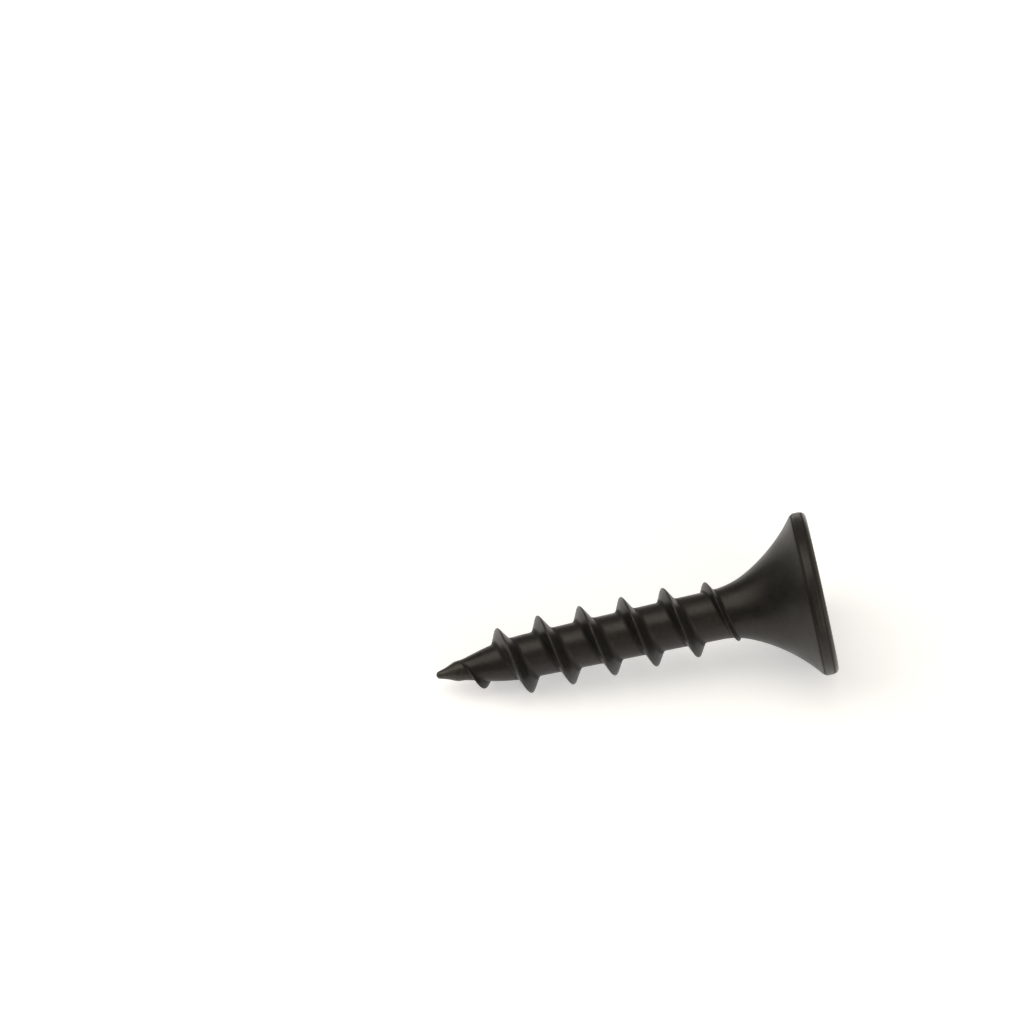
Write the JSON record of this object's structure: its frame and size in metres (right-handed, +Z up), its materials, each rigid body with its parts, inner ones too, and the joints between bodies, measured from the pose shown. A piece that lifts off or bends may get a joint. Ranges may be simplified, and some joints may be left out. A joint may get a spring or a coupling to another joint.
{
  "type": "wood screw",
  "caption": "Short countersunk screw with a trumpet-shaped bugle head, a cross recess for a driver, a widely spaced right-hand thread and a sharp point.",
  "frame": {"origin": "centre of the flat drive face, on the screw's axis", "axes": "+X along the screw's axis out of the drive face, with the tip towards -X; +Z up, in line with one pair of the recess's wings"},
  "size_m": [0.0191, 0.008, 0.008],
  "materials": {
    "black_steel": "matte"
  },
  "bodies": {
    "root": {"head": "black_steel", "shank": "black_steel", "thread": "black_steel", "point": "black_steel"}
  },
  "joints": []
}
